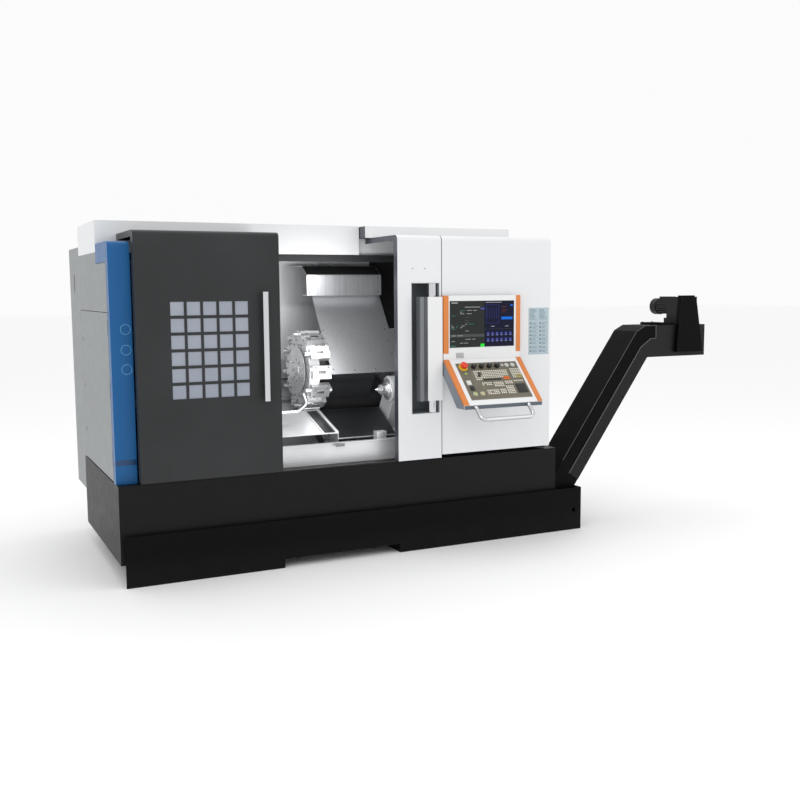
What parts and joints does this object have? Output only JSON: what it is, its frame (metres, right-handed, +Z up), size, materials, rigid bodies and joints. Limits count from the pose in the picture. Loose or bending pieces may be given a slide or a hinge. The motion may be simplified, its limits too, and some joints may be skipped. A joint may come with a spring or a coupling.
{
  "type": "cnc turning lathe",
  "caption": "Enclosed slant-bed turning lathe with sliding door, tool turret, tailstock, swinging control pendant and chip conveyor.",
  "frame": {"origin": "on the floor under the middle of the base's length and depth", "axes": "+X along the spindle towards the tailstock, +Y from the operator's front to the back, +Z up"},
  "size_m": [3.64, 1.7255, 1.773],
  "materials": {
    "black_panel": "satin powder coat",
    "base_black": "textured powder coat",
    "white_panel": "satin powder coat",
    "grey_side": "satin powder coat",
    "blue_panel": "satin powder coat",
    "stainless": "brushed sheet",
    "dark_steel": "oiled dark sheet",
    "cast_paint": "painted casting",
    "ground_steel": "ground",
    "machined_steel": "machined",
    "chrome": "polished",
    "black_plastic": "moulded",
    "red_plastic": "moulded",
    "green_plastic": "moulded",
    "white_plastic": "moulded",
    "screen_glass": "anti-glare glass",
    "window_glass": "laminated pane",
    "console_paint": "powder coat",
    "motor_paint": "machine enamel",
    "belt_rubber": "moulded rubber"
  },
  "bodies": {
    "root": {"levelling_feet": "machined_steel", "machine_base": "base_black", "coolant_tank": "base_black", "bed_casting": "cast_paint", "guide_rails": "ground_steel", "headstock": "cast_paint", "spindle_motor": "motor_paint", "drive_belt": "belt_rubber", "headstock_guard": "stainless", "back_wall": "stainless", "chip_chute": "stainless", "way_cover": "dark_steel", "coolant_pipe": "stainless", "door_track": "black_panel", "front_panels": "white_panel", "pendant_recess": "black_panel", "blue_column": "blue_panel", "left_end_cover": "grey_side", "right_end_cover": "grey_side", "roof_covers": "white_panel", "back_cover": "grey_side", "electrical_cabinet": "grey_side", "pivot_tube": "chrome", "conveyor_casing": "black_panel", "chain_guard": "black_panel", "conveyor_motor": "motor_paint"},
    "door": {"door_panel": "black_panel", "door_window": "window_glass", "door_handle": "chrome"},
    "spindle_body": {"spindle": "machined_steel", "chuck_body": "machined_steel"},
    "jaw_1": {"chuck_jaw_1": "machined_steel"},
    "jaw_2": {"chuck_jaw_2": "machined_steel"},
    "jaw_3": {"chuck_jaw_3": "machined_steel"},
    "motor_drive": {"motor_pulley": "machined_steel"},
    "ballscrew": {"z_ballscrew": "ground_steel"},
    "carriage": {"saddle": "cast_paint", "saddle_cover": "stainless"},
    "cross_carriage": {"cross_slide": "cast_paint", "turret_housing": "cast_paint"},
    "turret": {"turret_disc": "machined_steel", "tool_holders": "machined_steel"},
    "tailstock": {"tailstock_body": "cast_paint"},
    "quill": {"tailstock_quill": "ground_steel"},
    "centre": {"live_centre": "ground_steel"},
    "service_door": {"left_service_door": "grey_side"},
    "cabinet_door_body": {"cabinet_door": "grey_side"},
    "pendant": {"pendant_arm": "console_paint", "display_housing": "console_paint", "display_screen": "screen_glass", "keyboard_housing": "console_paint", "pendant_handle": "chrome"},
    "estop": {"estop_button": "red_plastic"},
    "knob_1": {"override_knob_1": "black_plastic"},
    "knob_2": {"override_knob_2": "black_plastic"},
    "knob_3": {"override_knob_3": "black_plastic"},
    "knob_4": {"override_knob_4": "black_plastic"},
    "start": {"start_button": "green_plastic"},
    "hold": {"hold_button": "white_plastic"},
    "elevator_shaft": {"conveyor_shaft": "machined_steel"}
  },
  "joints": [
    {"name": "door_slide", "type": "slide", "parent": "root", "child": "door", "axis": [1, 0, 0], "range_m": [0, 0.65]},
    {"name": "spindle_turn", "type": "hinge", "parent": "root", "child": "spindle_body", "pos_m": [-0.63, -0.143, 0.85], "axis": [1, 0, 0], "continuous": true},
    {"name": "jaw_1_grip", "type": "slide", "parent": "spindle_body", "child": "jaw_1", "axis": [0, -0.5, 0.866], "range_m": [-0.008, 0.008]},
    {"name": "jaw_2_grip", "type": "slide", "parent": "spindle_body", "child": "jaw_2", "axis": [0, -0.5, -0.866], "range_m": [-0.008, 0.008]},
    {"name": "jaw_3_grip", "type": "slide", "parent": "spindle_body", "child": "jaw_3", "axis": [0, 1, 0], "range_m": [-0.008, 0.008]},
    {"name": "motor_turn", "type": "hinge", "parent": "root", "child": "motor_drive", "pos_m": [-1.05, 0.27209, 0.89104], "axis": [1, 0, 0], "continuous": true},
    {"name": "ballscrew_turn", "type": "hinge", "parent": "root", "child": "ballscrew", "pos_m": [-0.55, 0.27446, 0.77694], "axis": [1, 0, 0], "continuous": true},
    {"name": "carriage_travel", "type": "slide", "parent": "root", "child": "carriage", "axis": [1, 0, 0], "range_m": [-0.35, 0.08]},
    {"name": "cross_travel", "type": "slide", "parent": "carriage", "child": "cross_carriage", "axis": [0, 0.866, 0.5], "range_m": [-0.01, 0.16]},
    {"name": "turret_index", "type": "hinge", "parent": "cross_carriage", "child": "turret", "pos_m": [-0.1, 0.05532, 0.9645], "axis": [1, 0, 0], "continuous": true},
    {"name": "tailstock_travel", "type": "slide", "parent": "root", "child": "tailstock", "axis": [1, 0, 0], "range_m": [0, 0.25]},
    {"name": "quill_travel", "type": "slide", "parent": "tailstock", "child": "quill", "axis": [-1, 0, 0], "range_m": [-0.018, 0.06]},
    {"name": "centre_turn", "type": "hinge", "parent": "quill", "child": "centre", "pos_m": [0.31, -0.143, 0.85], "axis": [1, 0, 0], "continuous": true},
    {"name": "service_door_hinge", "type": "hinge", "parent": "root", "child": "service_door", "pos_m": [-1.25, -0.405, 0.9], "axis": [0, 0, 1], "range_deg": [0, 110]},
    {"name": "cabinet_door_hinge", "type": "hinge", "parent": "root", "child": "cabinet_door_body", "pos_m": [-1.25, 0.836, 0.98], "axis": [0, 0, 1], "range_deg": [0, 115]},
    {"name": "pendant_swing", "type": "hinge", "parent": "root", "child": "pendant", "pos_m": [0.44, -0.511, 1.1], "axis": [0, 0, -1], "range_deg": [0, 90]},
    {"name": "estop_push", "type": "slide", "parent": "pendant", "child": "estop", "axis": [0, 0.7071, -0.7071], "range_m": [0, 0.006]},
    {"name": "override_1_turn", "type": "hinge", "parent": "pendant", "child": "knob_1", "pos_m": [0.633, -0.62613, 0.99487], "axis": [0, -0.7071, 0.7071], "range_deg": [-135, 135]},
    {"name": "override_2_turn", "type": "hinge", "parent": "pendant", "child": "knob_2", "pos_m": [0.682, -0.62613, 0.99487], "axis": [0, -0.7071, 0.7071], "range_deg": [-135, 135]},
    {"name": "override_3_turn", "type": "hinge", "parent": "pendant", "child": "knob_3", "pos_m": [0.731, -0.62613, 0.99487], "axis": [0, -0.7071, 0.7071], "range_deg": [-135, 135]},
    {"name": "override_4_turn", "type": "hinge", "parent": "pendant", "child": "knob_4", "pos_m": [0.78, -0.62613, 0.99487], "axis": [0, -0.7071, 0.7071], "range_deg": [-135, 135]},
    {"name": "start_push", "type": "slide", "parent": "pendant", "child": "start", "axis": [0, 0.7071, -0.7071], "range_m": [0, 0.003], "stiffness_N_per_m": 300},
    {"name": "hold_push", "type": "slide", "parent": "pendant", "child": "hold", "axis": [0, 0.7071, -0.7071], "range_m": [0, 0.003], "stiffness_N_per_m": 300},
    {"name": "elevator_turn", "type": "hinge", "parent": "root", "child": "elevator_shaft", "pos_m": [2.22, -0.386, 1.094], "axis": [0, 1, 0], "continuous": true}
  ],
  "couplings": [
    {"joint": "motor_turn", "follows": "spindle_turn", "ratio": 1.6667},
    {"joint": "jaw_2_grip", "follows": "jaw_1_grip", "ratio": 1},
    {"joint": "jaw_3_grip", "follows": "jaw_1_grip", "ratio": 1},
    {"joint": "ballscrew_turn", "follows": "carriage_travel", "rad_per_m": 628.32}
  ]
}
